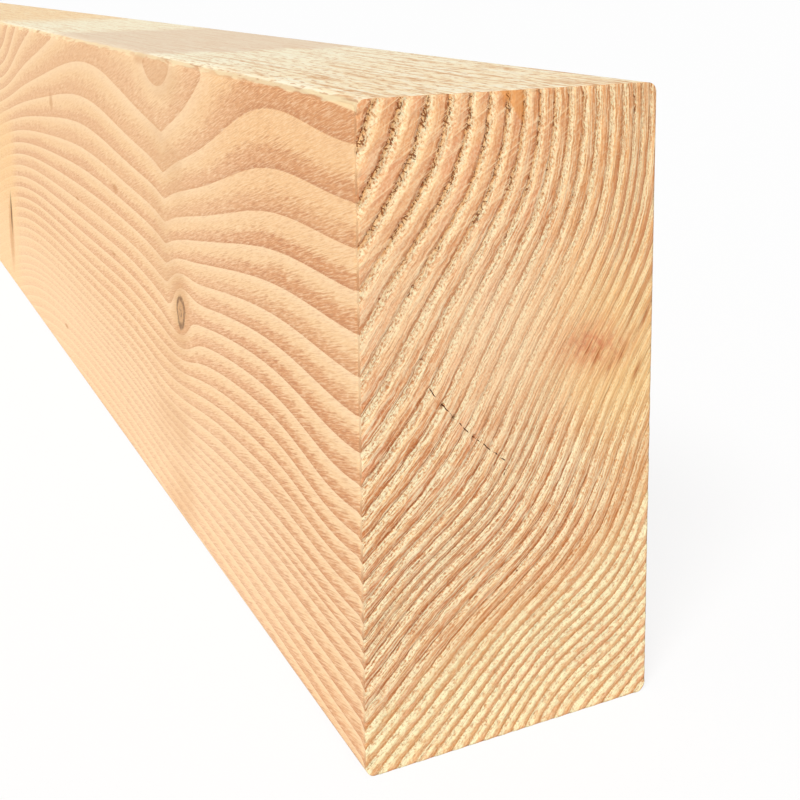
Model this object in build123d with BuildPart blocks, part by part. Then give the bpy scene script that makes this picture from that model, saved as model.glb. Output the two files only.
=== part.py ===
"""A length of planed softwood beam, in millimetres.

X runs along the beam, with the sawn end that has the drying check at +X.
Y runs across its width, Z up its depth, and the origin is at the middle of the underside.
"""

import os

from build123d import *

# Driving dimensions of the beam
LENGTH = 2400.0
WIDTH = 100.0
HEIGHT = 200.0
ARRIS_RADIUS = 3.0

# Drying check: a split in the sawn end that runs square to the growth rings and closes inwards
CHECK_LENGTH = 39.0
CHECK_GAPE = 0.6
CHECK_DEPTH = 24.0
CHECK_TILT = -46.0  # degrees, from the horizontal
CHECK_ACROSS_SHARE = 0.335  # of the width, from the -Y side
CHECK_UP_SHARE = 0.515  # of the height, from the underside

# Where the check's mouth is widest, along its length from its middle
CHECK_WIDEST_SHARE = 0.08

sawn_end = Plane.YZ.offset(LENGTH / 2)
check_mouth = Plane(
    origin=sawn_end.from_local_coords((WIDTH * (CHECK_ACROSS_SHARE - 1 / 2), HEIGHT * CHECK_UP_SHARE, 0)),
    x_dir=sawn_end.x_dir.rotate(Axis.X, CHECK_TILT),
    z_dir=sawn_end.z_dir,
)

with BuildPart() as beam:
    # The planed section, with its four long arrises eased
    with BuildSketch(Plane.YZ.offset(-LENGTH / 2)):
        with Locations((0, HEIGHT / 2)):
            RectangleRounded(WIDTH, HEIGHT, ARRIS_RADIUS)
    extrude(amount=LENGTH)

    # The check's mouth is a thin kite, and its four walls meet at a point inside the wood
    with BuildSketch(check_mouth) as mouth:
        with BuildLine():
            Polyline(
                (-CHECK_LENGTH / 2, 0),
                (CHECK_LENGTH * CHECK_WIDEST_SHARE, -CHECK_GAPE / 2),
                (CHECK_LENGTH / 2, 0),
                (CHECK_LENGTH * CHECK_WIDEST_SHARE, CHECK_GAPE / 2),
                close=True,
            )
        make_face()
    innermost = Vertex(*check_mouth.from_local_coords((CHECK_LENGTH * CHECK_WIDEST_SHARE, 0, -CHECK_DEPTH)))
    loft(sections=[mouth.sketch, innermost], ruled=True, mode=Mode.SUBTRACT)

beam.part.label = "beam"

os.makedirs("parts", exist_ok=True)
export_step(beam.part, "parts/beam.step")
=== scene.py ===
"""Dresses the timber beam: growth rings through the whole wood, torn end grain, planed sides and knots.

Lengths of the wood are in millimetres, measured from the corner nearest the camera:
back from the sawn end, across from the seen side, and up from the underside.
The materials work in metres, in the beam's own frame.
"""

import math
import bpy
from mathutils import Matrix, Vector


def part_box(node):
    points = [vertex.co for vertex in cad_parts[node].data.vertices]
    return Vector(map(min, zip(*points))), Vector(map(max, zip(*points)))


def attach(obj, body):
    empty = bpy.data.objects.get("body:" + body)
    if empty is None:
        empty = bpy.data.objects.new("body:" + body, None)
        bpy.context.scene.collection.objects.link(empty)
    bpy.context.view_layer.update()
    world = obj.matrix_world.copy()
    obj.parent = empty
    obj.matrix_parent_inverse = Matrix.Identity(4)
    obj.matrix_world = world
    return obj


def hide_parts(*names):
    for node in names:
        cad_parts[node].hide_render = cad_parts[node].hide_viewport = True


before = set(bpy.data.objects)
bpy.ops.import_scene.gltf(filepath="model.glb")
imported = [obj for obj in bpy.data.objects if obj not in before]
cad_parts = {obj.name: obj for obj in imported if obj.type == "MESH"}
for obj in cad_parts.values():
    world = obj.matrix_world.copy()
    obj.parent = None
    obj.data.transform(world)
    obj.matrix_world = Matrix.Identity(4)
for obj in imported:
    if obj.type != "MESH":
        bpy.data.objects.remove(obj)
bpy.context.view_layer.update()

from types import SimpleNamespace

import bpy
import numpy as np
from mathutils import Quaternion, Vector

MM = 0.001
low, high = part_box("beam")
LENGTH, WIDTH, HEIGHT = ((high - low) / MM)[:]
ARRIS_RADIUS = 3.0
MIDDLE = WIDTH / 2

# Camera, as it stood for the photograph
CAMERA_BACK = -301.8
CAMERA_ACROSS = -133.2
CAMERA_UP = 234.1
CAMERA_TURN = 25.83  # degrees, from the beam's length towards the seen side
CAMERA_DIP = 8.27  # degrees below the horizon
CAMERA_ROLL = -0.59  # degrees
CAMERA_NEAREST = 0.01  # metres
FRAME_PIXELS = 800
FOCAL_PIXELS = 1228.0
CENTRE_ROW_PIXEL = 150.0  # where the optical axis meets the frame, from its top
SENSOR_WIDTH = 36.0

# Growth rings: the pith, the radius where the count starts, and the width of a ring there
PITH_ACROSS = -310.0
PITH_UP = 310.0
COUNT_RADIUS = 360.0
RING_WIDTH = 5.5
RING_THINNING = 0.00068  # more rings per mm with each mm outwards
RING_OFFSET = 5.9
# A few lean years: the radius of their middle, their span, and the rings they add
LEAN_YEARS_RADIUS = 408.0
LEAN_YEARS_SPAN = 10.0
LEAN_YEARS_RINGS = 0.85

# Where the trunk swelled and pushed its rings about, near the sawn end: across, up, reach, push
END_SWELLS = (
    (32, 188, 30, -9.5),
    (86, 34, 38, -17.5),
    (68, 16, 20, 10.0),
    (94, 154, 40, -18.0),
    (30, 104, 26, -8.0),
    (20, 56, 18, 3.0),
    (82, 174, 24, 0.6),
)
END_SWELL_REACH = 45.0  # back along the beam

# The same along the seen side: back, up, reach back, reach up, push
SIDE_SWELLS = (
    (205, 68, 35, 32, -5.0),
    (275, 78, 200, 60, -8.0),
    (605, 96, 130, 42, 10.5),
    (200, 168, 90, 42, -15.5),
    (400, 6, 160, 44, 17.0),
    (20, 72, 25, 18, -4.0),
    (600, 25, 130, 45, 9.0),
    (130, 45, 140, 45, 0.55),
    (665, 188, 45, 26, -9.0),
    (208, 198, 20, 14, -5.0),
)
SIDE_SWELL_REACH = 90.0  # across the beam
# A crease in the grain above the knot, where the rings turn sharply
CREASE_BACK = 204.0
CREASE_WIDTH = 15.0
CREASE_ROUNDING = 2.5
CREASE_PUSH = -3.8

# The trunk's long bend, and the smaller swells of the part beyond the photograph
BEND = 60.0
BEND_SPAN = 1500.0
LEAN = 0.017
FAR_SWELLS = 14
FAR_SWELL_START = 780.0
FAR_SWELL_PUSH = 9.0

# Knots where they meet the seen side: back, up, radius, how dark
KNOTS = (
    (184, 95, 6.2, 0.75),
    (1130, 128, 8.0, 0.7),
    (1585, 46, 10.0, 0.9),
    (2040, 150, 7.0, 0.6),
)
KNOT_LEAN = 0.22  # how much a branch leans along the trunk
KNOT_PUSH_SHARE = 0.9  # of its distance from the knot's axis, how far a ring is pushed
KNOT_REACH_SHARES = (1.25, 1.9)  # of the knot's radius, above and beside it

# Pin knots, resin streaks and a pocket of bark on the seen side: back, up, length, height, how dark
FLECKS = (
    (296, 130, 14, 4.5, 0.6),
    (305, 95, 11, 2.2, 0.6),
    (392, 109, 11, 2.0, 0.6),
    (445, 21, 13, 3.0, 0.6),
    (460, 158, 13, 13.0, 0.45),
    (500, 199, 12, 2.5, 0.6),
    (238, 197, 24, 6.0, 0.4),
    (655, 40, 26, 60.0, 0.5),
)
BARK_POCKET = (651, 56, 8, 34.0, 1.0)

SAPWOOD_RING = 23.1  # the outermost heartwood ring, in the middle of the sawn end
SAPWOOD_DRIFT = 0.08  # rings per mm across

# Drying check in the sawn end: its two tips, its half width, and the depth of its widest beads
CHECK_START = (21.5, 115.5)
CHECK_END = (47.0, 89.0)
CHECK_BOW = 1.4  # how far its middle strays from the straight line
CHECK_HALF_WIDTH = 0.16
CHECK_DEPTH = 1.6
CHECK_BEADS = ((0.2, 0.45), (0.35, 0.5), (0.62, 0.6))  # share of its length, radius

# Resin streaks where a branch grazes the sawn end: across, up, half length, half width
RESIN_STREAKS = (
    (76.0, 119.5, 2.5, 0.4),
    (79.6, 117.0, 3.6, 0.5),
    (84.0, 112.0, 4.0, 0.4),
    (88.6, 116.0, 3.8, 0.4),
    (94.5, 109.5, 3.4, 0.5),
    (93.0, 130.0, 6.0, 0.5),
    (97.5, 127.0, 5.0, 0.5),
)
RESIN_SLOPE = 64.0  # degrees
RESIN_TAPER = 0.7  # of a streak's half length, how far its strong part reaches
# The branch's bruises, each a place, a reach and a strength, and a painted sheen round them, warm and
# bright: its place and reach
BRUISES = (((75.5, 121), (8, 5), 0.9), ((86, 117), (8, 7), 0.45))
GLOW = ((92, 112), (14, 18))

# Resin pocket in the top edge of the sawn end, a slanted wedge, and a drop beside it
POCKET_TIP = (52.5, 190.6)
POCKET_SLOPE = 1.3
POCKET_SOFTNESS = 0.5
RESIN_DROP = ((46, 198), (1.0, 1.6))
HEART_STAIN = (-0.4, 1.1)  # rings past the heartwood, reach in rings

# Where the saw left the sawn end smooth: a band over the middle, and a patch by the seen side
CALM_UP = 127.0
CALM_TILT = 0.1
CALM_REACH = 24.0
CALM_PATCH = ((10, 140), (22, 22))  # place, reach
CALM_PATCH_SHARE = 0.75

# How badly the soft wood is torn: everywhere, at its worst, by the seen side, and less where it is calm
TORN_LEAST = 0.2
TORN_WORST = 0.9
TORN_SPOT = ((5, 196), (46, 36))  # place, reach
TORN_SIDE = 0.12
TORN_SIDE_REACH = 45.0
TORN_CALMED = 0.25
FAR_END_MARKS = {"torn": 0.3}  # the other marks are 0 there

# Height of the ring ridges: everywhere, more low down and in the sapwood, and less where it is calm
RIDGE_LEAST = 0.2
RIDGE_LOW_DOWN = 0.45
RIDGE_LOW_TILT = 0.25
RIDGE_SAPWOOD = 0.15
RIDGE_CALMED = 0.14
RIDGE_SHIFT = 0.5  # rings that a ridge leans for each mm of its height
BORDER_WIDTH = 2.5  # along the far arris and the underside the relief is lower
BORDER_SHARE = 0.35

# Rough detail of the relief
RELIEF_SLOPE = 54.0  # degrees, the way the rings run on the whole
RAGGED_NOISES = ((2.4, 1.0, 1), (1.2, 0.7, 2))  # size, share, seed
RAGGED_RINGS = 0.05
RAGGED_TORN_RINGS = 0.03
LUMPS = ((1.6, 2.3, 0.6, 3), (3.0, 1.2, 0.4, 5))  # per ring, length, share, seed
LUMPY_LEAST = 0.15
LUMPY_SAPWOOD = 0.65
TUFT_PER_RING = 8
TUFT_LENGTH = 1.3
TUFT_DEPTH = 0.7

# The sawn end is splintered along its top edge and by the seen side, and the seen upper arris is chipped
SPLINTER_DEPTH = 0.6
SPLINTER_REACH = 2.4
SPLINTER_SIZE = 1.7
CHIP_DEPTH = 0.9
CHIP_LENGTH = 9.0
BREAK_CHANCE = (0.4, 0.8)  # noise where a splinter or a chip starts, and where it is full

# Map for baking: both ends in a column on the left, the sides in bands on the right, each cut in two
MAP_GAP = 0.004  # left empty round each part
MAP_END_COLUMN = 0.25  # width of the ends' column
MAP_FAR_END_SHARE = 0.28  # of the column's height
MAP_CUT = 720.0  # where each side is cut, back from the sawn end

# Mesh steps
END_STEP = 0.6
FAR_END_STEP = 2.5
COLUMNS = {"seen": 74, "top": 22, "back": 46, "under": 20}
ARC_STEPS = 3
ROW_ZONES = ((4.0, 240.0, 4.0), (240.0, 720.0, 6.5), (720.0, LENGTH, 24.0))  # from, to, step
LAST_ROW_GAP = 6.0
NEARLY_ZERO = 1e-6

rng = np.random.default_rng(11)


def smooth(edge_a, edge_b, x):
    """Rises smoothly from 0 at edge_a to 1 at edge_b."""
    t = np.clip((x - edge_a) / (edge_b - edge_a), 0, 1)
    return t * t * (3 - 2 * t)


def bell(*distances_and_reaches):
    """A bell curve over pairs of distance and reach."""
    return np.exp(-0.5 * sum((distance / reach) ** 2 for distance, reach in distances_and_reaches))


def spot(across, up, at, reach):
    """A bell curve round a place on the sawn end, with its reach across and up."""
    return bell((across - at[0], reach[0]), (up - at[1], reach[1]))


def lattice(u, v, seed):
    """Smooth noise from 0 to 1 with one value at each whole number."""
    whole_u, whole_v = np.floor(u).astype(np.int64), np.floor(v).astype(np.int64)
    part_u, part_v = smooth(0, 1, u - whole_u), smooth(0, 1, v - whole_v)

    def corner(i, j):
        """Scrambles two whole numbers and the seed into a value from 0 to 1."""
        mixed = (i * 374761393 + j * 668265263 + seed * 974634777) & 0x7FFFFFFF
        mixed = ((mixed ^ (mixed >> 13)) * 1274126177) & 0x7FFFFFFF
        return ((mixed ^ (mixed >> 16)) & 0xFFFF) / 0xFFFF

    lower = corner(whole_u, whole_v) * (1 - part_u) + corner(whole_u + 1, whole_v) * part_u
    upper = corner(whole_u, whole_v + 1) * (1 - part_u) + corner(whole_u + 1, whole_v + 1) * part_u
    return lower * (1 - part_v) + upper * part_v


# Figure of the wood

far_swells = [
    (
        rng.uniform(FAR_SWELL_START, LENGTH),
        rng.uniform(0, WIDTH),
        rng.uniform(0, HEIGHT),
        rng.uniform(60.0, 170.0),
        rng.uniform(30.0, 70.0),
        rng.uniform(-FAR_SWELL_PUSH, FAR_SWELL_PUSH),
    )
    for _ in range(FAR_SWELLS)
]


def knot_axis(up):
    """Unit direction of a branch that meets the seen side at this height: back, across, up."""
    axis = np.array([KNOT_LEAN, -PITH_ACROSS, up - PITH_UP], float)
    axis[1:] /= np.linalg.norm(axis[1:])
    return axis / np.linalg.norm(axis)


def knot_push(from_knot, axis, size):
    """How far a knot pushes the rings, at places given from where it meets the seen side."""
    lift = np.array([0.0, -axis[2], axis[1]]) / math.hypot(axis[1], axis[2])
    along = sum(a * b for a, b in zip(from_knot, axis))
    above = sum(a * b for a, b in zip(from_knot, lift))
    beside = from_knot[0] - along * axis[0]
    reach_above, reach_beside = (size * share for share in KNOT_REACH_SHARES)
    return KNOT_PUSH_SHARE * above * bell((above, reach_above), (beside, reach_beside))


def crease(back, up):
    """How far a place is into the crease above the knot, from 0 to nearly 1."""
    from_crease = np.hypot(back - CREASE_BACK, CREASE_ROUNDING)
    return np.exp(-from_crease / CREASE_WIDTH) * smooth(70.0, 105.0, up) * smooth(182.0, 155.0, up)


def ring_count(back, across, up):
    """How many rings lie between a point and the innermost one in the beam."""
    radius = np.hypot(across - PITH_ACROSS, up - PITH_UP)
    radius = radius + LEAN * back - BEND * (1 - np.cos(np.pi * back / BEND_SPAN))
    near_end = bell((back, END_SWELL_REACH))
    for at_across, at_up, reach, push in END_SWELLS:
        radius = radius + push * near_end * bell((across - at_across, reach), (up - at_up, reach))
    near_side = bell((across, SIDE_SWELL_REACH))
    for at_back, at_up, reach_back, reach_up, push in SIDE_SWELLS:
        radius = radius + push * near_side * bell((back - at_back, reach_back), (up - at_up, reach_up))
    radius = radius + CREASE_PUSH * near_side * crease(back, up)
    for at_back, at_across, at_up, reach_back, reach, push in far_swells:
        distances = (back - at_back, reach_back), (across - at_across, reach), (up - at_up, reach)
        radius = radius + push * bell(*distances)
    for at_back, at_up, size, _ in KNOTS:
        radius = radius + knot_push((back - at_back, across, up - at_up), knot_axis(at_up), size)
    grown = radius - COUNT_RADIUS
    lean_years = smooth(-0.5, 0.5, (radius - LEAN_YEARS_RADIUS) / LEAN_YEARS_SPAN)
    return RING_OFFSET + grown / RING_WIDTH + RING_THINNING / 2 * grown**2 + LEAN_YEARS_RINGS * lean_years


# Relief of the sawn end

def calm_zone(across, up):
    """Where the saw left the wood smooth: the middle, and a little less so by the seen side."""
    from_band = up - CALM_UP + CALM_TILT * (across - MIDDLE)
    middle = bell((from_band, CALM_REACH)) * smooth(5, 40, across) * smooth(100, 72, across)
    return np.maximum(middle, CALM_PATCH_SHARE * spot(across, up, *CALM_PATCH))


def past_heartwood(across, rings):
    """How many rings a point lies outside the heartwood."""
    return rings - SAPWOOD_RING - SAPWOOD_DRIFT * (across - MIDDLE)


def torn_zone(across, up):
    """How badly the saw tore the soft wood: most at the top by the seen side, least in the middle."""
    worst = TORN_WORST * spot(across, up, *TORN_SPOT)
    by_seen_side = TORN_SIDE * bell((across, TORN_SIDE_REACH))
    calmed = TORN_CALMED * calm_zone(across, up)
    return np.clip(TORN_LEAST + worst + by_seen_side - calmed, 0.02, 1.1)


def ridge_height(across, up, sapwood):
    """How far the ring ridges stand up: tall low down and in the sapwood, low elsewhere."""
    low_down = smooth(112, 80, up + RIDGE_LOW_TILT * (MIDDLE - across))
    raised = RIDGE_LEAST + RIDGE_LOW_DOWN * low_down + RIDGE_SAPWOOD * sapwood
    return raised - RIDGE_CALMED * calm_zone(across, up)


def ridge_depth(rings, along_ring, ridge, sapwood):
    """Depth below the crests of the ring ridges, which are lumpy in the sapwood."""
    part = rings - np.floor(rings)
    crest = smooth(0.0, 0.15, part) * smooth(1.03, 0.3, part)
    lumps = 0.0
    for per_ring, length, share, seed in LUMPS:
        lumps = lumps + share * lattice(rings * per_ring, along_ring / length, seed)
    lumpy = LUMPY_LEAST + LUMPY_SAPWOOD * sapwood
    return ridge * (1 - crest * (1 - lumpy * lumps))


def tuft_depth(rings, along_ring, torn):
    """Depth of the pits between torn fibres, in the soft part of each ring."""
    part = rings - np.floor(rings)
    soft = smooth(0.0, 0.05, part) * smooth(0.5, 0.25, part)
    return TUFT_DEPTH * torn * soft * lattice(rings * TUFT_PER_RING, along_ring / TUFT_LENGTH, seed=4)


def check_groove(across, up):
    """Depth of the drying check's widest beads."""
    start, end = np.array(CHECK_START), np.array(CHECK_END)
    aside = np.array([end[1] - start[1], start[0] - end[0]]) / np.hypot(*(end - start))
    depth = 0.0 * across
    for share, size in CHECK_BEADS:
        bead = start + share * (end - start) + 4 * CHECK_BOW * share * (1 - share) * aside
        depth = depth + CHECK_DEPTH * (np.hypot(across - bead[0], up - bead[1]) < size)
    return depth


def broken_edge(across, up):
    """How deep the sawn end is splintered along its top edge and by the seen side."""
    from_edge = np.minimum(across, HEIGHT - up)
    splinters = lattice(across / SPLINTER_SIZE, up / SPLINTER_SIZE, seed=6)
    return SPLINTER_DEPTH * smooth(SPLINTER_REACH, 0.0, from_edge) * smooth(*BREAK_CHANCE, splinters)


def end_stain(across, up, rings):
    """Resin: a pocket at the top, a drop beside it, and the edge of the heartwood."""
    foot = POCKET_TIP[1] + POCKET_SLOPE * np.maximum(0.0, POCKET_TIP[0] - across)
    pocket = smooth(53.5, 52.8, across) * smooth(-POCKET_SOFTNESS, POCKET_SOFTNESS, up - foot)
    drop = spot(across, up, *RESIN_DROP)
    from_stain = past_heartwood(across, rings) - HEART_STAIN[0]
    edge = bell((from_stain, HEART_STAIN[1])) * smooth(10, 40, across)
    return np.clip(0.9 * pocket + 0.6 * drop + 0.3 * edge, 0, 1)


def resin_streaks(across, up):
    """Dark streaks along the rings beside the branch."""
    lean = math.radians(RESIN_SLOPE)
    streaks = 0.0 * across
    for at_across, at_up, half_long, half_wide in RESIN_STREAKS:
        a, b = across - at_across, up - at_up
        along = a * math.cos(lean) + b * math.sin(lean)
        aside = b * math.cos(lean) - a * math.sin(lean)
        streaks = np.maximum(streaks, bell((along, half_long * RESIN_TAPER), (aside, half_wide)))
    return streaks


def sawn_relief(across, up):
    """Depth below the sawn plane, and the marks the looks need, at each point of the sawn end."""
    rings = ring_count(0.0 * across, across, up)
    torn = torn_zone(across, up)
    sapwood = smooth(-0.8, 1.6, past_heartwood(across, rings))
    ridge = ridge_height(across, up, sapwood)
    rings = rings - RIDGE_SHIFT * (ridge - RIDGE_LEAST)
    ragged = 0.0
    for size, share, seed in RAGGED_NOISES:
        ragged = ragged + share * (lattice(across / size, up / size, seed) - 0.5)
    rings = rings + (RAGGED_RINGS + RAGGED_TORN_RINGS * torn) * ragged

    slope = math.radians(RELIEF_SLOPE)
    along_ring = across * math.cos(slope) + up * math.sin(slope)
    depth = ridge_depth(rings, along_ring, ridge, sapwood) + tuft_depth(rings, along_ring, torn)
    border = smooth(0.0, BORDER_WIDTH, np.minimum(WIDTH - across, up))
    depth = depth * (BORDER_SHARE + (1 - BORDER_SHARE) * border)
    depth = depth + check_groove(across, up) + broken_edge(across, up)
    marks = {
        "ring": rings,
        "torn": torn,
        "calm": calm_zone(across, up),
        "sapwood": sapwood,
        "stain": end_stain(across, up, rings),
        "bruise": sum(strength * spot(across, up, at, reach) for at, reach, strength in BRUISES),
        # A painted sheen, warm and bright, round the branch mark
        "glow": spot(across, up, *GLOW),
        "streaks": resin_streaks(across, up),
    }
    return depth, marks


# Mesh of the beam

FLAT_TALL = HEIGHT - 2 * ARRIS_RADIUS
FLAT_WIDE = WIDTH - 2 * ARRIS_RADIUS
ARC = ARRIS_RADIUS * math.pi / 2
# Each side as its own strip: name, flat length, where the flat starts, its direction and the arc's centre
STRIPS = (
    ("seen", FLAT_TALL, (0, ARRIS_RADIUS), (0, 1), (ARRIS_RADIUS, HEIGHT - ARRIS_RADIUS)),
    ("top", FLAT_WIDE, (ARRIS_RADIUS, HEIGHT), (1, 0), (WIDTH - ARRIS_RADIUS, HEIGHT - ARRIS_RADIUS)),
    ("back", FLAT_TALL, (WIDTH, HEIGHT - ARRIS_RADIUS), (0, -1), (WIDTH - ARRIS_RADIUS, ARRIS_RADIUS)),
    ("under", FLAT_WIDE, (WIDTH - ARRIS_RADIUS, 0), (-1, 0), (ARRIS_RADIUS, ARRIS_RADIUS)),
)
STRIP_STARTS = np.concatenate([[0.0], np.cumsum([strip[1] + ARC for strip in STRIPS])])
GIRTH = STRIP_STARTS[-1]

# Material slots
PLANED, SAWN = 0, 1


class Shell:
    """Points and faces of the beam, as they are added."""

    def __init__(self):
        self.points, self.rings, self.girths = [], [], []
        self.faces, self.slots = [], []
        self.total = 0

    def add_points(self, back, across, up, rings, girths):
        """Adds points with their ring counts and places along the girth, and returns their numbers."""
        self.points.append(np.stack([back, across, up], -1))
        self.rings.append(rings)
        self.girths.append(girths)
        first = self.total
        self.total += len(across)
        return np.arange(first, self.total)

    def add_faces(self, faces, slot):
        self.faces += [tuple(int(number) for number in face) for face in faces]
        self.slots += [slot] * (len(self.faces) - len(self.slots))


def round_corners(across, up):
    """Moves the points of a plain grid so that its four corners follow the eased arrises."""
    centre_across = np.clip(across, ARRIS_RADIUS, WIDTH - ARRIS_RADIUS)
    centre_up = np.clip(up, ARRIS_RADIUS, HEIGHT - ARRIS_RADIUS)
    a, b = across - centre_across, up - centre_up
    double_square = 2 * ARRIS_RADIUS**2
    return (
        centre_across + a * np.sqrt(1 - b * b / double_square),
        centre_up + b * np.sqrt(1 - a * a / double_square),
    )


def girth_points():
    """Points round the section: their place along the girth, across and up."""
    places, points = [], []
    for first, (name, flat, start, way, centre) in zip(STRIP_STARTS, STRIPS):
        for step in range(COLUMNS[name]):
            along = flat * step / COLUMNS[name]
            places.append(first + along)
            points.append((start[0] + way[0] * along, start[1] + way[1] * along))
        outward = (-way[1], way[0])
        for step in range(ARC_STEPS):
            turn = math.pi / 2 * step / ARC_STEPS
            places.append(first + flat + ARRIS_RADIUS * turn)
            reach_out, reach_on = ARRIS_RADIUS * math.cos(turn), ARRIS_RADIUS * math.sin(turn)
            points.append(tuple(c + reach_out * o + reach_on * w for c, o, w in zip(centre, outward, way)))
    return np.array(places), np.array(points)


def chipped(section, places, back):
    """The section at one place along the beam, its seen upper arris chipped a little."""
    from_arris = np.abs(places - (STRIP_STARTS[1] - ARC / 2))
    chance = lattice(np.full(1, back / CHIP_LENGTH), np.zeros(1), seed=8)
    chip = CHIP_DEPTH * smooth(*BREAK_CHANCE, chance)
    inward = chip * np.clip(1 - from_arris / ARC, 0, 1) / math.sqrt(2)
    return section + np.stack([inward, -inward], -1)


def girth_place(across, up):
    """Place along the girth of points on the section's outline."""
    place = np.zeros_like(across)
    for first, (_, flat, start, way, centre) in zip(STRIP_STARTS, STRIPS):
        outward = (-way[1], way[0])
        along = (across - start[0]) * way[0] + (up - start[1]) * way[1]
        off_flat = np.abs((across - start[0]) * outward[0] + (up - start[1]) * outward[1])
        on_flat = (off_flat < NEARLY_ZERO) & (along > -NEARLY_ZERO) & (along < flat + NEARLY_ZERO)
        place = np.where(on_flat, first + along, place)
        out = (across - centre[0]) * outward[0] + (up - centre[1]) * outward[1]
        on = (across - centre[0]) * way[0] + (up - centre[1]) * way[1]
        on_arc = (out > NEARLY_ZERO) & (on > NEARLY_ZERO) & ~on_flat
        place = np.where(on_arc, first + flat + ARRIS_RADIUS * np.arctan2(on, out), place)
    return place % GIRTH


def end_grid(step, flip):
    """A grid over the section: across, up, the numbers round it in the girth's direction, and its faces."""
    sides = (np.linspace(0, size, round(size / step) + 1) for size in (WIDTH, HEIGHT))
    across, up = round_corners(*np.meshgrid(*sides, indexing="ij"))
    index = np.arange(across.size).reshape(across.shape)
    outline = np.concatenate([index[0, :-1], index[:-1, -1], index[-1, :0:-1], index[:0:-1, 0]])
    quads = np.stack([index[:-1, :-1], index[1:, :-1], index[1:, 1:], index[:-1, 1:]], -1).reshape(-1, 4)
    return across.ravel(), up.ravel(), outline, quads[:, ::-1] if flip else quads


def zip_loops(loop_a, places_a, loop_b, places_b):
    """Triangles between two closed loops that have different numbers of points."""
    faces = []
    turns_a, turns_b = len(loop_a), len(loop_b)
    i = j = 0
    while i < turns_a or j < turns_b:
        next_a = places_a[i + 1] if i + 1 < turns_a else GIRTH + places_a[0]
        next_b = places_b[j + 1] if j + 1 < turns_b else GIRTH + places_b[0]
        if j >= turns_b or (i < turns_a and next_a <= next_b):
            faces.append((loop_a[i], loop_a[(i + 1) % turns_a], loop_b[j % turns_b]))
            i += 1
        else:
            faces.append((loop_a[i % turns_a], loop_b[(j + 1) % turns_b], loop_b[j]))
            j += 1
    return faces


def add_end(shell, points, rings, outline, faces):
    """Adds an end's grid, and returns its outline as numbers and places that rise along the girth."""
    back, across, up = points
    places = girth_place(across[outline], up[outline])
    girths = np.zeros(len(across))
    girths[outline] = places
    first = shell.add_points(back, across, up, rings, girths)[0]
    shell.add_faces(first + faces, SAWN)
    turn = -int(np.argmin(places))
    return np.roll(first + outline, turn), np.roll(places, turn)


def add_sides(shell):
    """Adds the long sides in rows, and returns the first row, the last, and their places along the girth."""
    places, section = girth_points()
    backs = np.concatenate([np.arange(*zone) for zone in ROW_ZONES])
    backs = np.append(backs[backs < LENGTH - 2 * LAST_ROW_GAP], LENGTH - LAST_ROW_GAP)
    rows = []
    for at_back in backs:
        across, up = chipped(section, places, at_back).T
        back = np.full(len(across), at_back)
        rows.append(shell.add_points(back, across, up, ring_count(back, across, up), places))
    for row, following in zip(rows, rows[1:]):
        shell.add_faces(zip(row, np.roll(row, -1), np.roll(following, -1), following), PLANED)
    return rows[0], rows[-1], places


def bake_map(mesh, wood, girths, slots):
    """Lays the faces out flat on a map, so that the looks can be baked."""
    counts = np.empty(len(mesh.polygons), np.int32)
    mesh.polygons.foreach_get("loop_total", counts)
    corners = np.empty(len(mesh.loops), np.int32)
    mesh.loops.foreach_get("vertex_index", corners)
    face = np.repeat(np.arange(len(counts)), counts)

    def middle(values):
        """A face's mean of a value, at each of its corners."""
        return (np.bincount(face, values) / counts)[face]

    back, across, up = wood[corners].T
    girth = girths[corners]
    last_of_round = middle(girth > GIRTH * 3 / 4) > 0
    girth = np.where(last_of_round & (girth < GIRTH / 4), girth + GIRTH, girth)

    end_u = MAP_GAP + across / WIDTH * (MAP_END_COLUMN - 2 * MAP_GAP)
    far_v = MAP_GAP + up / HEIGHT * (MAP_FAR_END_SHARE - 2 * MAP_GAP)
    near_v = MAP_FAR_END_SHARE + MAP_GAP + up / HEIGHT * (1 - MAP_FAR_END_SHARE - 2 * MAP_GAP)
    end_v = np.where(middle(back) > LENGTH / 2, far_v, near_v)

    strip = np.clip(np.searchsorted(STRIP_STARTS, middle(girth), "right") - 1, 0, len(STRIPS) - 1)
    beyond = middle(back) > MAP_CUT
    along = np.where(beyond, (back - MAP_CUT) / (LENGTH - MAP_CUT), back / MAP_CUT)
    side_u = MAP_END_COLUMN + MAP_GAP + along * (1 - MAP_END_COLUMN - 2 * MAP_GAP)
    gaps = MAP_GAP * (2 * strip + 1)
    side_v = beyond / 2 + gaps + girth / GIRTH * (1 / 2 - 2 * MAP_GAP * len(STRIPS))

    is_end = slots[face] == SAWN
    places = np.stack([np.where(is_end, end_u, side_u), np.where(is_end, end_v, side_v)], -1)
    mesh.uv_layers.new(name="OFBake").uv.foreach_set("vector", places.astype(np.float32).ravel())


def beam_shell():
    """The whole surface of the beam, and the marks on its sawn end."""
    shell = Shell()
    across, up, *grid = end_grid(END_STEP, flip=False)
    depth, marks = sawn_relief(across, up)
    near_outline = add_end(shell, (depth, across, up), marks.pop("ring"), *grid)
    first_row, last_row, places = add_sides(shell)
    shell.add_faces(zip_loops(*near_outline, first_row, places), PLANED)
    across, up, *grid = end_grid(FAR_END_STEP, flip=True)
    back = np.full_like(across, LENGTH)
    far_outline = add_end(shell, (back, across, up), ring_count(back, across, up), *grid)
    shell.add_faces(zip_loops(last_row, places, *far_outline), PLANED)
    return shell, marks


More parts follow.
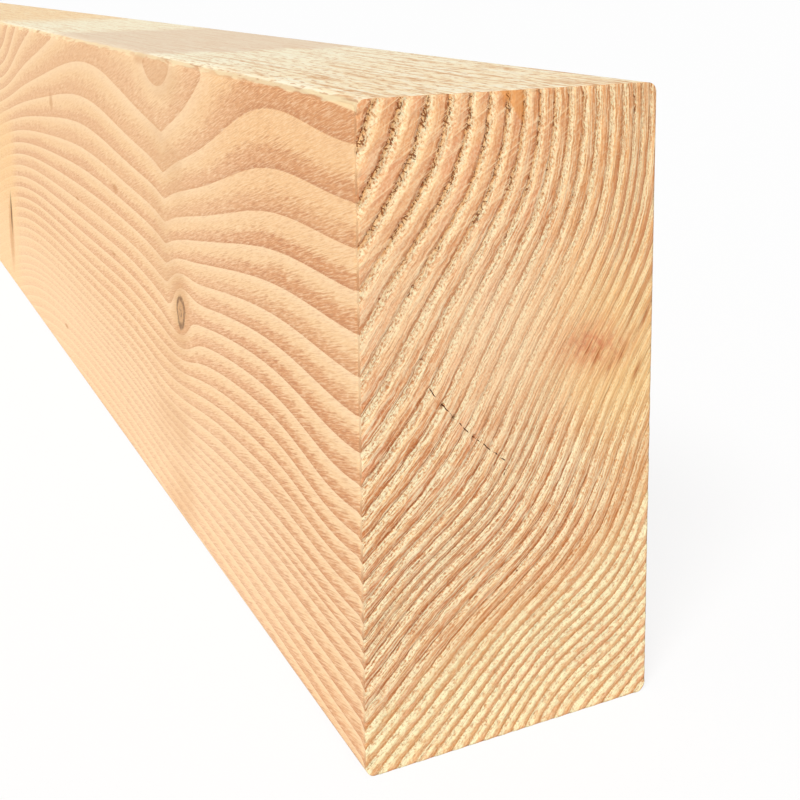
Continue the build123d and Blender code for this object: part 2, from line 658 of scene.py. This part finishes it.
def beam_object():
    """Builds the dressed beam and returns its object."""
    shell, marks = beam_shell()
    wood = np.concatenate(shell.points)
    corner = np.array([high.x, low.y, low.z])
    mesh = bpy.data.meshes.new("timber")
    mesh.from_pydata((corner + wood * (-MM, MM, MM)).tolist(), [], shell.faces)
    mesh.polygons.foreach_set("material_index", shell.slots)
    mesh.shade_smooth()
    marks["ring"] = np.concatenate(shell.rings)
    for name, values in marks.items():
        filled = np.full(len(wood), FAR_END_MARKS.get(name, 0.0), np.float32)
        filled[: len(values)] = values
        mesh.attributes.new(name, "FLOAT", "POINT").data.foreach_set("value", filled)
    bake_map(mesh, wood, np.concatenate(shell.girths), np.array(shell.slots))
    mesh.update()
    return bpy.data.objects.new("timber", mesh)


timber = beam_object()
bpy.context.scene.collection.objects.link(timber)
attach(timber, "root")
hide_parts("beam")


# Looks, with tones as they should appear, from 0 to 255, and places in metres
# A layer is a tone, the values where it starts and where it is full, and its full share
# A tint is a tone and its share

# Planed sides: cells of noise per metre along, across and up
HAIR_SCALE = (120, 1700, 1700)
FINE_SCALE = (280, 3000, 3000)
PATCH_SCALE = (5, 14, 14)
BROAD_SCALE = (14, 60, 60)
LINES_SCALE = (18, 330, 30)
WAVY_SCALE = (150, 620, 100)
WANDER_SCALE = (30, 90, 30)
FIBRE_SLANT = 0.3
PALE_TONES = (246, 208, 162), (244, 201, 148)
HARD_TONES = (228, 172, 128), (224, 165, 116)
CREAM_TONES = (255, 236, 196), (255, 247, 216)
FIRST_WOOD = (253, 220, 178), 0.35, 0.02, 0.7
GOLDEN = (243, 192, 136), 0.75
BARE = (250, 206, 144), 0.6
NEAR_HARD = (214, 146, 92), 0.85
TAN = (255, 224, 176), 0.6, 0.72, 1.0
GREY = (232, 206, 180), 0.75
# Painted highlights on the seen upper arris: a wedge on the planed-off bevel by the sawn end, and a ragged
# line along the arris
WORN = (255, 228, 178), 0.75
RIM = (255, 234, 188), 0.7
SPLINTER = (190, 116, 66), 0.5, 0.58, 0.6
# Layers over the tall sides and over the narrow ones, in order: by which value, where, and the layer
TALL_LAYERS = (
    ("part", "ring_edge", (194, 128, 82), 0.84, 0.99, 0.7),
    ("ring", "innermost", (214, 144, 90), 0.1, -0.1, 0.6),
    ("hair", "hairs", (196, 132, 86), 0.52, 0.65, 0.55),
    ("fine", "hairs", (200, 136, 90), 0.52, 0.63, 0.4),
    ("fine", "everywhere", (254, 224, 182), 0.48, 0.37, 0.38),
    ("hair", "everywhere", (254, 222, 180), 0.48, 0.36, 0.34),
    ("z", "foot", (252, 224, 188), 0.08, 0.03, 0.3),
    # A band of painted shade over the crease above the knot
    ("broad", "smoke", (219, 172, 124), 0.35, 0.6, 0.35),
)
NARROW_LAYERS = (
    ("lines", "rough", (222, 170, 120), 0.51, 0.61, 0.75),
    ("lines", "rough", (255, 250, 226), 0.48, 0.38, 0.6),
    ("wavy", "rough", (210, 152, 102), 0.53, 0.63, 0.7),
    ("wavy", "rough", (255, 250, 226), 0.47, 0.38, 0.5),
)
PLANED_ROUGHNESS = (0.72, 0.6)  # soft wood, hard wood
PLANED_BUMP = (0.0004, 0.6, 0.3)  # depth, strength, shine

# Flecks and knots, by shares of their size
FLECK_TONE = (198, 132, 76)
BARK_TONE = (126, 90, 48)
FLECK_EDGE = (1.2, 0.3)
FLECK_DEPTH = 10.0
KNOT_HALO = (214, 156, 98), 2.6, 0.9, 0.45
KNOT_HEART_TONES = (222, 176, 126), (170, 120, 76)
KNOT_RIM_TONE = (108, 76, 46)
KNOT_PITH = (110, 74, 44), 0.42, 0.2, 0.6

# Sawn ends: ways in their plane, then noise drawn out along the rings and along the saw's strokes
RING_WAY = (0.0, 0.59, 0.81)
SAW_WAY = (0.0, 0.84, 0.54)
SAW_ASIDE = (0.0, -0.54, 0.84)
RING_NOISES = {  # cells per ring, cells per metre along it, seed
    "fleck": (10.0, 1050.0, 3.0),
    "streak": (4.0, 40.0, 7.0),
    "hair": (8.0, 45.0, 5.0),
    "fibre": (12.0, 160.0, 13.0),
    "winding": (4.6, 560.0, 9.0),
    "cluster": (1.5, 130.0, 4.0),
    "bead": (2.4, 420.0, 11.0),
}
# Cells per metre aside and along, and seed; then plain noise, with its cells per metre and detail
SAW_NOISES = {"scratch": (1100, 16, 0.0), "stroke": (480, 22, 4.0)}
PLAIN_NOISES = {"patch": (28, 2.0), "blush": (75, 2.0), "grain": (1300, 2.0), "smear": (420, 3.0)}
EARLY_TONES, SAPWOOD_EARLY = ((255, 220, 168), (255, 208, 150)), (255, 243, 190)
LATE_TONES, SAPWOOD_LATE = ((246, 182, 130), (238, 168, 112)), (244, 198, 142)
# Painted shadow line in the crevice where a ring ends, in heartwood and in sapwood
RIM_TONES = (156, 86, 42), (208, 150, 94)  # heartwood, sapwood
BLUSH = (244, 168, 128), 0.5, 0.62, 0.5
CALM_TINT = (255, 222, 180), 0.6
WARM_TINT, WARM_VEIL = ((255, 192, 124), 0.35), ((255, 198, 130), 0.14)
# A painted sheen, warm and bright, round the branch mark
GLOW_TINT, GLOW_VEIL = ((255, 200, 128), 0.5), ((255, 216, 150), 0.6)
# Hard wood darkening where a ring ends: partly its own tone, partly painted shade on the ridge's shaded drop
RING_END = (210, 136, 84), 0.66, 0.92, 1.0
# Pale crest of each ring: partly the soft wood's own paleness, partly a painted highlight on the slope that
# faces the light
CREST = (255, 244, 204), 0.6, 0.46, 0.95
# Layers over the sawn ends, in order: by which value, where, and the layer
SAWN_LAYERS = (
    # Sapwood beads: a painted highlight on each lump, and painted shade beside it
    ("bead", "beaded", (255, 248, 202), 0.55, 0.42, 0.9),
    ("bead", "sapwood", (226, 172, 120), 0.53, 0.64, 0.7),
    ("streak", "lined", (212, 136, 86), 0.52, 0.6, 0.6),
    # Fine lines along the rings, dark and pale: partly grain, partly painted shade and highlight of fine
    # grooves
    ("hair", "lined", (188, 110, 62), 0.53, 0.6, 0.7),
    ("hair", "lined", (255, 238, 198), 0.47, 0.39, 0.8),
    ("fibre", "lined", (186, 110, 62), 0.54, 0.61, 0.5),
    ("fibre", "lined", (255, 240, 200), 0.46, 0.39, 0.6),
    ("scratch", "scored", (255, 216, 168), 0.54, 0.62, 1.0),
    ("scratch", "scored", (222, 148, 96), 0.46, 0.37, 0.5),
    ("stroke", "scored_late", (212, 140, 98), 0.5, 0.6, 0.7),
    # Torn fibres: painted shade in the pits between them and a painted highlight on their raised tips
    ("fleck", "tuft", (176, 102, 46), 0.55, 0.61, 0.65),
    ("fleck", "tuft", (255, 243, 198), 0.46, 0.39, 0.9),
    # Painted warm shade at the bottoms of the grooves where each ring starts
    ("part", "grooved", (250, 180, 108), 0.2, 0.06, 0.6),
    ("grain", "everywhere", (204, 130, 78), 0.53, 0.63, 0.2),
    ("grain", "everywhere", (255, 236, 192), 0.47, 0.37, 0.22),
    # Painted shade and highlight on the soft ridges by the far arris
    ("part", "by_far_arris", (202, 124, 82), 0.5, 0.8, 0.6),
    ("part", "by_far_arris", (255, 228, 176), 0.38, 0.12, 0.5),
)
BRUISE_TONE = (218, 136, 96)
STREAK_TONE = (180, 96, 40)
STAIN = (228, 152, 82), 0.8
# Torn cracks: partly the wood's dark brown, partly painted shade in the gaps
CRACK = (148, 70, 18), 0.85
CRACK_SHARDS = (4.6, 620, 2.0)  # cells per ring, cells per metre along it, seed
CRACK_JAG = 0.9
CHECK_TONE = (88, 46, 24)
CHECK_JOGS, CHECK_JOG = (240, 2.0), 1.6  # cells per metre and seed, mm
CHECK_DASHES = (300, 9.0)  # cells per metre and seed
SAWN_ROUGHNESS = (0.85, 0.68)  # soft wood, hard wood
SAWN_BUMP = (0.0008, 1.0, 0.12)  # depth, strength, shine


def colour(*tone):
    """A tone as the linear value a socket takes."""
    shares = [part / 255 for part in tone]
    return (*(s / 12.92 if s < 0.04045 else ((s + 0.055) / 1.055) ** 2.4 for s in shares), 1.0)


class Looks:
    """Short names for the nodes of a material or the world."""

    def __init__(self, owner):
        self.owner = owner
        owner.use_nodes = True
        self.tree = owner.node_tree

    def feed(self, socket, value):
        if isinstance(value, bpy.types.NodeSocket):
            self.tree.links.new(value, socket)
        else:
            socket.default_value = value

    def node(self, kind, *values):
        """Adds a node, and feeds its first sockets."""
        node = self.tree.nodes.new("ShaderNode" + kind)
        for socket, value in zip(node.inputs, values):
            self.feed(socket, value)
        return node

    def fill(self, node, values):
        """Feeds a node's sockets by their names."""
        for name, value in values.items():
            self.feed(node.inputs[name], value)

    def math(self, operation, first, second=0.0):
        node = self.node("Math", first, second)
        node.operation = operation
        return node.outputs[0]

    def times(self, first, second):
        return self.math("MULTIPLY", first, second)

    def plus(self, first, second):
        return self.math("ADD", first, second)

    def minus(self, first, second):
        return self.math("SUBTRACT", first, second)

    def less(self, value, share):
        """One, less a share of the value."""
        return self.minus(1.0, self.times(value, share))

    def sway(self, value, noise, amount):
        """Moves a value to and fro by some noise."""
        return self.plus(value, self.times(self.minus(noise, 0.5), amount))

    def vector(self, operation, first, second=(0, 0, 0)):
        node = self.node("VectorMath", first, second)
        node.operation = operation
        return node.outputs["Value" if operation in ("LENGTH", "DOT_PRODUCT") else "Vector"]

    def attribute(self, name):
        node = self.node("Attribute")
        node.attribute_name = name
        return node.outputs["Fac"]

    def place(self):
        return self.node("TexCoord").outputs["Object"]

    def facing(self):
        """Size of each part of the surface direction: along, across, up."""
        return self.split(self.vector("ABSOLUTE", self.node("TexCoord").outputs["Normal"]))

    def split(self, vector):
        return self.node("SeparateXYZ", vector).outputs

    def join(self, x, y, z):
        return self.node("CombineXYZ", x, y, z).outputs[0]

    def noise(self, vector, scale=1.0, detail=2.0, roughness=0.5):
        """Smooth noise with so many cells to each unit, or other numbers of them along, across and up."""
        if isinstance(scale, tuple):
            vector, scale = self.vector("MULTIPLY", vector, scale), 1.0
        node = self.node("TexNoise", vector)
        self.fill(node, {"Scale": scale, "Detail": detail, "Roughness": roughness})
        return node.outputs["Fac"]

    def chance(self, value):
        """A random number from 0 to 1 for each whole number."""
        node = self.node("TexWhiteNoise")
        node.noise_dimensions = "1D"
        self.fill(node, {"W": value})
        return node.outputs["Value"]

    def rise(self, value, start, end, low_end=0.0, high_end=1.0):
        """Smooth step of a value between two others."""
        node = self.node("MapRange", value, start, end, low_end, high_end)
        node.interpolation_type = "SMOOTHSTEP"
        return node.outputs[0]

    def band(self, value, start, full, still_full, end):
        """Rises smoothly from 0 to 1, and falls again further on."""
        return self.times(self.rise(value, start, full), self.rise(value, end, still_full))

    def mix(self, share, first, second):
        """Mixes two colours, or tones."""
        node = self.node("Mix")
        node.data_type = "RGBA"
        self.feed(node.inputs[0], share)
        for socket, value in zip(node.inputs[6:8], (first, second)):
            self.feed(socket, colour(*value) if isinstance(value, tuple) else value)
        return node.outputs[2]

    def shards(self, vector):
        """Distance to the nearest edge between cells of random shape."""
        node = self.node("TexVoronoi", vector)
        node.feature = "DISTANCE_TO_EDGE"
        self.fill(node, {"Scale": 1.0})
        return node.outputs["Distance"]

    def lay(self, base, layer, value, where=1.0):
        """Lays a layer over a colour, by a value and where it may lie."""
        tone, start, full, share = layer
        return self.mix(self.times(self.rise(value, start, full, 0.0, share), where), base, tone)

    def lay_all(self, base, layers, fields):
        """Lays a table of layers over a colour, each by the fields it names."""
        for value, where, *layer in layers:
            base = self.lay(base, layer, getattr(fields, value), getattr(fields, where))
        return base

    def tint(self, base, tint, where):
        tone, share = tint
        return self.mix(self.times(where, share), base, tone)

    def finish(self, base, roughness, height, bump_sizes):
        """Wires the colour, the roughness and a bump of the given depth in metres, strength and shine."""
        depth, strength, shine = bump_sizes
        surface, bump = self.tree.nodes["Principled BSDF"], self.node("Bump")
        self.fill(bump, {"Strength": strength, "Distance": depth, "Height": height})
        self.fill(surface, {"Base Color": base, "Roughness": roughness})
        self.fill(surface, {"Normal": bump.outputs[0], "Specular IOR Level": shine})
        return self.owner


def planed_noises(g):
    """Places and noises that the looks of the planed sides share."""
    f = SimpleNamespace(place=g.place(), everywhere=1.0)
    x, f.y, f.z = g.split(f.place)
    f.back = g.minus(high.x, x)
    aside, upward = g.facing()[1:]
    f.is_side = g.rise(aside, 0.5, 0.9)
    f.is_narrow = g.rise(upward, 0.75, 0.95)

    # Fibres: slanted on the tall sides, straight on the narrow ones
    slant = g.times(g.times(x, f.is_side), FIBRE_SLANT)
    fibres = g.join(x, f.y, g.minus(f.z, slant))
    f.hair = g.noise(fibres, HAIR_SCALE)
    f.fine = g.noise(fibres, FINE_SCALE)
    f.patch = g.noise(f.place, PATCH_SCALE, detail=1.0)
    f.broad = g.noise(f.place, BROAD_SCALE)
    return f


def planed_fields(g):
    """The noises of the planed sides, with the parts of rings and the zones that depend on them."""
    f = planed_noises(g)

    # How plainly the rings show: less away from the sawn end, least low down and by the pocket of bark
    faint = g.times(g.rise(f.back, 0.22, 0.48), g.rise(f.z, 0.085, 0.04))
    plain = g.minus(g.rise(f.back, 0.06, 0.2, 1.0, 0.75), g.times(faint, 0.42))
    f.bare = g.times(g.band(f.back, 0.6, 0.645, 0.7, 0.76), g.rise(f.z, 0.15, 0.11))
    plain = g.times(plain, g.less(f.bare, 0.8))

    # Hard wood, which starts and ends a little differently in each ring
    f.ring = g.sway(g.attribute("ring"), f.fine, 0.06)
    f.part = g.math("FRACT", f.ring)
    chance = g.chance(g.math("FLOOR", f.ring))
    shifted = g.sway(g.sway(f.part, f.hair, 0.6), f.broad, 0.5)
    late = g.rise(shifted, g.plus(g.times(chance, 0.16), 0.26), 0.76)
    late = g.times(g.times(late, g.plus(g.times(chance, 0.3), 0.7)), plain)
    f.late = g.times(late, g.less(f.is_narrow, 0.75))

    f.ring_edge = g.times(f.late, g.rise(f.back, 0.26, 0.08, 0.3, 1.0))
    f.innermost = g.times(f.late, g.rise(f.back, 0.16, 0.05))
    f.hairs = g.times(g.plus(g.times(f.late, 0.65), 0.35), g.rise(f.back, 0.16, 0.06, 0.8, 1.25))
    f.foot = g.times(f.is_side, g.rise(f.back, 0.02, 0.1, 0.3, 1.0))
    # Where a band of painted shade lies over the crease above the knot
    f.smoke = g.band(f.back, 0.165, 0.185, 0.2, 0.25)
    return f


def planed_looks():
    """The four long sides: growth rings cut lengthwise, hairy fibres, knots, painted highlights on the seen
    upper arris, and a band of painted shade over the crease.
    """
    g = Looks(bpy.data.materials.new("planed"))
    f = planed_fields(g)
    pale = g.lay(g.mix(f.patch, *PALE_TONES), FIRST_WOOD, f.part)
    golden = g.times(g.rise(f.z, 0.13, 0.18), g.rise(f.back, 0.2, 0.08))
    pale = g.tint(g.tint(pale, GOLDEN, golden), BARE, f.bare)
    near = g.rise(f.back, 0.14, 0.04)
    hard = g.tint(g.mix(f.patch, *HARD_TONES), NEAR_HARD, near)
    base = g.lay_all(g.mix(f.late, pale, hard), TALL_LAYERS, f)
    base = near_arris(g, f, base)
    base = g.mix(f.is_narrow, base, narrow_colour(g, f, base))
    base = knots_on(g, f.place, flecks_on(g, f.place, base))
    height = g.plus(g.times(f.hair, 0.6), g.times(f.fine, 0.4))
    return g.finish(base, g.rise(f.late, 0.0, 1.0, *PLANED_ROUGHNESS), height, PLANED_BUMP)


def near_arris(g, f, base):
    """The seen side's upper arris: a painted highlight on the planed-off bevel by the sawn end, splinters,
    and a ragged painted highlight along the arris.
    """
    seen = g.math("LESS_THAN", f.y, low.y + 0.004)
    from_top = g.minus(f.z, high.z)
    above_foot = g.minus(g.plus(from_top, 0.0036), g.times(f.back, 0.06))
    # A painted highlight where the bevel by the sawn end faces the light
    base = g.tint(base, WORN, g.times(g.rise(above_foot, -0.0001, 0.0005), seen))
    nick = g.noise(g.join(g.times(f.back, 70), g.times(f.z, 600), 1.0), detail=3.0)
    # A ragged painted highlight along the arris
    rim = g.rise(g.minus(from_top, g.times(nick, 0.006)), -0.0052, -0.0042)
    base = g.tint(base, RIM, g.times(rim, seen))
    thin = g.times(g.band(from_top, -0.0011, -0.0008, -0.0006, -0.0003), g.rise(f.back, 0.24, 0.16))
    return g.lay(base, SPLINTER, nick, g.times(thin, seen))


def narrow_colour(g, f, base):
    """The rougher, paler wood of the narrow sides: a greyer stretch, then tan wood further back."""
    f.lines = g.noise(f.place, LINES_SCALE, roughness=0.6)
    f.wavy = g.noise(f.place, WAVY_SCALE, roughness=0.6)
    wandering = g.sway(f.back, g.noise(f.place, WANDER_SCALE), 0.05)
    grey = g.band(wandering, 0.205, 0.23, 0.42, 0.48)
    f.rough = g.minus(g.rise(f.back, 0.05, 0.3, 1.0, 0.45), g.times(grey, 0.25))
    tone = g.mix(g.rise(f.back, 0.03, 0.2), *CREAM_TONES)
    tone = g.tint(g.lay(tone, TAN, wandering), GREY, grey)
    return g.lay_all(g.mix(0.9, base, tone), NARROW_LAYERS, f)


def from_seen_side(g, place, at_back, at_up):
    """Places as they lie from a point on the seen side."""
    return g.vector("SUBTRACT", place, (high.x - at_back * MM, low.y, low.z + at_up * MM))


def flecks_on(g, place, base):
    """Lays small dark streaks and a pocket of bark over the seen side."""
    for fleck in (*FLECKS, BARK_POCKET):
        at_back, at_up, long, tall, dark = fleck
        spread = (2 / (long * MM), 1 / (FLECK_DEPTH * MM), 2 / (tall * MM))
        away = g.vector("MULTIPLY", from_seen_side(g, place, at_back, at_up), spread)
        tone = BARK_TONE if fleck is BARK_POCKET else FLECK_TONE
        base = g.lay(base, (tone, *FLECK_EDGE, dark), g.vector("LENGTH", away))
    return base


def knots_on(g, place, base):
    """Lays each knot over the wood's colour: a paler heart, a dark rim and stained wood round it."""
    shake = g.noise(place, 160)
    grain = g.noise(place, 500)
    for at_back, at_up, size, dark in KNOTS:
        axis = knot_axis(at_up)
        away = from_seen_side(g, place, at_back, at_up)
        around = g.vector("CROSS_PRODUCT", away, (-axis[0], axis[1], axis[2]))
        reach = g.times(g.vector("LENGTH", around), 1 / (size * MM))
        reach = g.sway(reach, shake, 0.7)
        base = g.lay(base, KNOT_HALO, reach, dark)
        heart = g.rise(reach, 1.05, 0.75, 0.0, 0.8 * dark)
        base = g.mix(heart, base, g.mix(grain, *KNOT_HEART_TONES))
        rim = g.times(g.band(reach, 0.5, 0.8, 0.9, 1.12), g.rise(grain, 0.3, 0.55, 0.45, 1.0))
        base = g.tint(base, (KNOT_RIM_TONE, dark), rim)
        base = g.lay(base, KNOT_PITH, reach, g.rise(grain, 0.42, 0.6, 0.0, dark))
    return base


def check_line(g, place):
    """The drying check as it shows on the sawn face: a broken hair line."""
    way = Vector((0.0, CHECK_END[0] - CHECK_START[0], CHECK_END[1] - CHECK_START[1]))
    length = way.length * MM
    way.normalize()
    start = Vector((high.x, low.y + CHECK_START[0] * MM, low.z + CHECK_START[1] * MM))
    away = g.vector("SUBTRACT", place, start)
    along = g.vector("DOT_PRODUCT", away, way)
    aside = g.vector("DOT_PRODUCT", away, Vector((0.0, -way.z, way.y)))
    jog = g.noise(g.join(g.times(along, CHECK_JOGS[0]), 0.0, CHECK_JOGS[1]))
    dash = g.noise(g.join(g.times(along, CHECK_DASHES[0]), 0.0, CHECK_DASHES[1]), detail=1.0)
    share = g.times(along, 1 / length)
    bow = g.times(share, g.minus(1.0, share))
    aside = g.plus(g.sway(aside, jog, CHECK_JOG * MM), g.times(bow, 4 * CHECK_BOW * MM))
    half_width = g.rise(dash, 0.46, 0.56, 0.0, CHECK_HALF_WIDTH * MM)
    inside = g.math("LESS_THAN", g.math("ABSOLUTE", aside), half_width)
    ends = g.times(g.math("GREATER_THAN", along, 0.0), g.math("LESS_THAN", along, length))
    return g.times(inside, ends)


def sawn_noises(g):
    """Places, marks and noises that the looks of the sawn ends share."""
    f = SimpleNamespace(place=g.place(), everywhere=1.0)
    for mark in ("ring", "torn", "calm", "sapwood", "stain", "bruise", "glow", "streaks"):
        setattr(f, mark, g.attribute(mark))
    y, f.z = g.split(f.place)[1:]
    f.across = g.minus(y, low.y)
    ways = RING_WAY, SAW_ASIDE, SAW_WAY
    f.along_ring, aside, along = (g.vector("DOT_PRODUCT", f.place, way) for way in ways)
    for name, (per_ring, per_metre, seed) in RING_NOISES.items():
        cell = g.join(g.times(f.ring, per_ring), g.times(f.along_ring, per_metre), seed)
        setattr(f, name, g.noise(cell, roughness=0.6))
    for name, (cells_aside, cells_along, seed) in SAW_NOISES.items():
        cell = g.join(g.times(aside, cells_aside), g.times(along, cells_along), seed)
        setattr(f, name, g.noise(cell))
    for name, (cells, detail) in PLAIN_NOISES.items():
        setattr(f, name, g.noise(f.place, cells, detail))
    return f


def sawn_fields(g):
    """The noises of the sawn ends, with the parts of rings and the zones that depend on them."""
    f = sawn_noises(g)
    by_calm = g.rise(f.calm, 0.0, 1.0, 1.0, 0.35)
    f.shown = g.times(g.rise(f.torn, 0.3, 1.0, 1.0, 0.7), by_calm)
    f.combed = g.times(g.rise(f.torn, 0.4, 0.95, 1.0, 0.25), g.rise(f.sapwood, 0.0, 1.0, 1.0, 0.3))
    f.lined = g.times(f.combed, by_calm)

    frayed = g.sway(f.ring, f.fleck, g.rise(f.calm, 0.0, 1.0, 0.2, 0.1))
    f.part = g.math("FRACT", frayed)
    f.chance = g.chance(g.math("FLOOR", frayed))
    shifted = g.sway(g.sway(f.part, f.scratch, 0.25), f.streak, 0.3)
    f.late = g.plus(g.times(g.minus(g.rise(shifted, 0.34, 0.62), 0.5), f.shown), 0.5)

    # Where the sapwood beads get a painted highlight
    f.beaded = g.times(f.sapwood, g.rise(f.part, 0.75, 0.35))
    f.scored = g.rise(f.torn, 0.2, 0.8, 0.08, 0.7)
    f.scored_late = g.times(f.scored, f.late)
    f.tuft = g.times(g.rise(f.part, 0.5, 0.2, 0.08, 1.0), g.rise(f.torn, 0.0, 0.5, 0.4, 1.0))
    # Where painted warm shade lies in the grooves: in torn wood
    f.grooved = g.rise(f.torn, 0.3, 0.8)
    f.warm = g.times(g.rise(f.across, 0.045, 0.085), g.rise(f.z, 0.085, 0.12))
    # Where the soft ridges by the far arris get painted shade and highlight
    f.by_far_arris = g.times(g.rise(f.across, 0.068, 0.092), g.band(f.z, 0.12, 0.14, 0.165, 0.19))
    return f


def sawn_wood(g, f):
    """Soft wood, hard wood and a painted sheen by the branch; the dark edge where a ring ends, partly its
    own tone and partly painted shade, with a painted shadow line; and the pale crest of the next with a
    painted highlight.
    """
    early = g.mix(f.sapwood, g.mix(f.patch, *EARLY_TONES), SAPWOOD_EARLY)
    hard = g.mix(f.sapwood, g.mix(f.patch, *LATE_TONES), SAPWOOD_LATE)
    base = g.lay(g.mix(f.late, early, hard), BLUSH, f.blush, f.late)
    # The last tint is a painted sheen round the branch mark
    for tint, where in ((CALM_TINT, f.calm), (WARM_TINT, f.warm), (GLOW_TINT, f.glow)):
        base = g.tint(base, tint, where)
    # Painted shade and the hard wood's own darker tone where a ring ends, stronger low down where the ridges
    # stand tallest
    low_down = g.rise(f.z, 0.1, 0.07, 0.35, 0.65)
    edge = g.times(g.plus(g.times(f.chance, 0.4), low_down), f.shown)
    base = g.lay(base, RING_END, f.part, edge)
    # A thin painted shadow line in the crevice where each ring ends
    crisp = g.math("FRACT", g.sway(f.ring, f.fibre, 0.08))
    rim = g.times(g.times(g.rise(crisp, 0.84, 0.9), g.rise(f.cluster, 0.2, 0.38)), f.shown)
    base = g.mix(rim, base, g.mix(f.sapwood, *RIM_TONES))
    # The crest's pale layer is partly the soft wood's own paleness and partly a painted highlight
    crest = g.times(g.band(f.part, 0.0, 0.04, 0.2, 0.46), f.shown)
    return g.lay(base, CREST, f.fleck, crest)


def branch_and_resin(g, f, base):
    """The marks of the branch by the far arris, with a painted sheen round them, and stains of resin."""
    # The second veil is a painted sheen round the branch mark
    base = g.tint(g.tint(base, WARM_VEIL, f.warm), GLOW_VEIL, f.glow)
    smeared = g.times(g.plus(f.smear, f.hair), 0.5)
    bruise = g.times(f.bruise, g.rise(smeared, 0.42, 0.58, 0.3, 0.8))
    base = g.mix(bruise, base, BRUISE_TONE)
    streaks = g.times(f.streaks, g.rise(f.hair, 0.35, 0.6, 0.4, 0.95))
    base = g.mix(streaks, base, STREAK_TONE)
    return g.tint(base, STAIN, f.stain)


def ragged_cracks(g, f):
    """Cracks beside each ring's hard edge, where the fibres cluster, and more of them in torn wood."""
    beside = g.times(g.math("MAXIMUM", g.rise(f.part, 0.34, 0.04), g.rise(f.part, 0.9, 0.98)), f.torn)
    limit = g.minus(0.78, g.times(beside, 0.42))
    per_ring, per_metre, seed = CRACK_SHARDS
    jagged = g.plus(g.times(f.ring, per_ring), g.times(f.fleck, CRACK_JAG))
    shards = g.shards(g.join(jagged, g.times(f.along_ring, per_metre), seed))
    crack = g.times(g.rise(shards, 0.12, 0.05), g.rise(g.minus(f.cluster, limit), 0.0, 0.05))
    return g.times(crack, g.rise(f.winding, 0.46, 0.52))


def sawn_looks():
    """The sawn ends: hard tan latewood scored by the saw, torn cream earlywood, cracks and resin, with
    painted highlights and shade on the relief.
    """
    g = Looks(bpy.data.materials.new("sawn"))
    f = sawn_fields(g)
    base = g.lay_all(sawn_wood(g, f), SAWN_LAYERS, f)
    base = branch_and_resin(g, f, base)
    crack, check = ragged_cracks(g, f), check_line(g, f.place)
    # Cracks get dark brown, partly painted shade in the gaps
    base = g.mix(check, g.tint(base, CRACK, crack), CHECK_TONE)

    height = g.times(f.scratch, 0.25)
    hollows = (
        (g.plus(f.hair, f.streak), g.times(f.combed, 0.45)),
        (f.fibre, g.times(f.combed, 0.3)),
        (f.fleck, g.times(f.tuft, 0.7)),
        (f.bead, g.times(f.sapwood, 0.9)),
        (g.math("MAXIMUM", crack, check), 0.5),
    )
    for hollow, share in hollows:
        height = g.minus(height, g.times(hollow, share))
    return g.finish(base, g.rise(f.late, 0.0, 1.0, *SAWN_ROUGHNESS), height, SAWN_BUMP)


timber.data.materials.append(planed_looks())
timber.data.materials.append(sawn_looks())


# Floor, light and camera

WHITE = (1.0, 1.0, 1.0, 1.0)
KEY_FROM = (0.43, -0.51, 0.74)
KEY_STRENGTH = 2.2
KEY_SOFTNESS = 18.0  # degrees
SKY_STRENGTH = 0.48
FLOOR_SIZE = 40.0
FLOOR_COLOUR = (0.93, 0.93, 0.93, 1.0)
FLOOR_ROUGHNESS = 0.9
FLOOR_WHITE_SHARE = 0.85


def white_to_camera(g, plain, white_kind, output, share):
    """Shows a shader to the camera mixed with plain white, so that it reads as a white backdrop."""
    seen = g.times(g.node("LightPath").outputs["Is Camera Ray"], share)
    white = g.node(white_kind, WHITE, 1.0)
    blend = g.node("MixShader", seen, plain.outputs[0], white.outputs[0])
    g.feed(g.tree.nodes[output].inputs["Surface"], blend.outputs[0])


def lay_floor():
    bpy.ops.mesh.primitive_plane_add(size=FLOOR_SIZE, location=(0, 0, low.z))
    floor = bpy.context.object
    floor.name = "floor"
    g = Looks(bpy.data.materials.new("floor"))
    surface = g.tree.nodes["Principled BSDF"]
    g.fill(surface, {"Base Color": FLOOR_COLOUR, "Roughness": FLOOR_ROUGHNESS})
    white_to_camera(g, surface, "Emission", "Material Output", FLOOR_WHITE_SHARE)
    floor.data.materials.append(g.owner)


def light_scene():
    key_data = bpy.data.lights.new("key", "SUN")
    key_data.energy = KEY_STRENGTH
    key_data.angle = math.radians(KEY_SOFTNESS)
    key = bpy.data.objects.new("key", key_data)
    key.rotation_mode = "QUATERNION"
    key.rotation_quaternion = Vector(KEY_FROM).to_track_quat("Z", "Y")
    bpy.context.scene.collection.objects.link(key)
    g = Looks(bpy.data.worlds.new("sky"))
    bpy.context.scene.world = g.owner
    sky = g.tree.nodes["Background"]
    g.fill(sky, {"Color": WHITE, "Strength": SKY_STRENGTH})
    white_to_camera(g, sky, "Background", "World Output", 1.0)


lay_floor()
light_scene()
bpy.context.scene.view_settings.view_transform = "Standard"

camera_data = bpy.data.cameras.new("camera")
camera_data.sensor_width = SENSOR_WIDTH
camera_data.lens = FOCAL_PIXELS / FRAME_PIXELS * SENSOR_WIDTH
camera_data.shift_y = (CENTRE_ROW_PIXEL - FRAME_PIXELS / 2) / FRAME_PIXELS
camera_data.clip_start = CAMERA_NEAREST
camera = bpy.data.objects.new("camera", camera_data)
camera.location = (high.x - CAMERA_BACK * MM, low.y + CAMERA_ACROSS * MM, low.z + CAMERA_UP * MM)
turn, dip = math.radians(CAMERA_TURN), math.radians(CAMERA_DIP)
aim = Vector((-math.cos(turn) * math.cos(dip), math.sin(turn) * math.cos(dip), -math.sin(dip)))
roll = Quaternion((0, 0, 1), math.radians(CAMERA_ROLL))
camera.rotation_mode = "QUATERNION"
camera.rotation_quaternion = aim.to_track_quat("-Z", "Y") @ roll
bpy.context.scene.collection.objects.link(camera)
bpy.context.scene.camera = camera
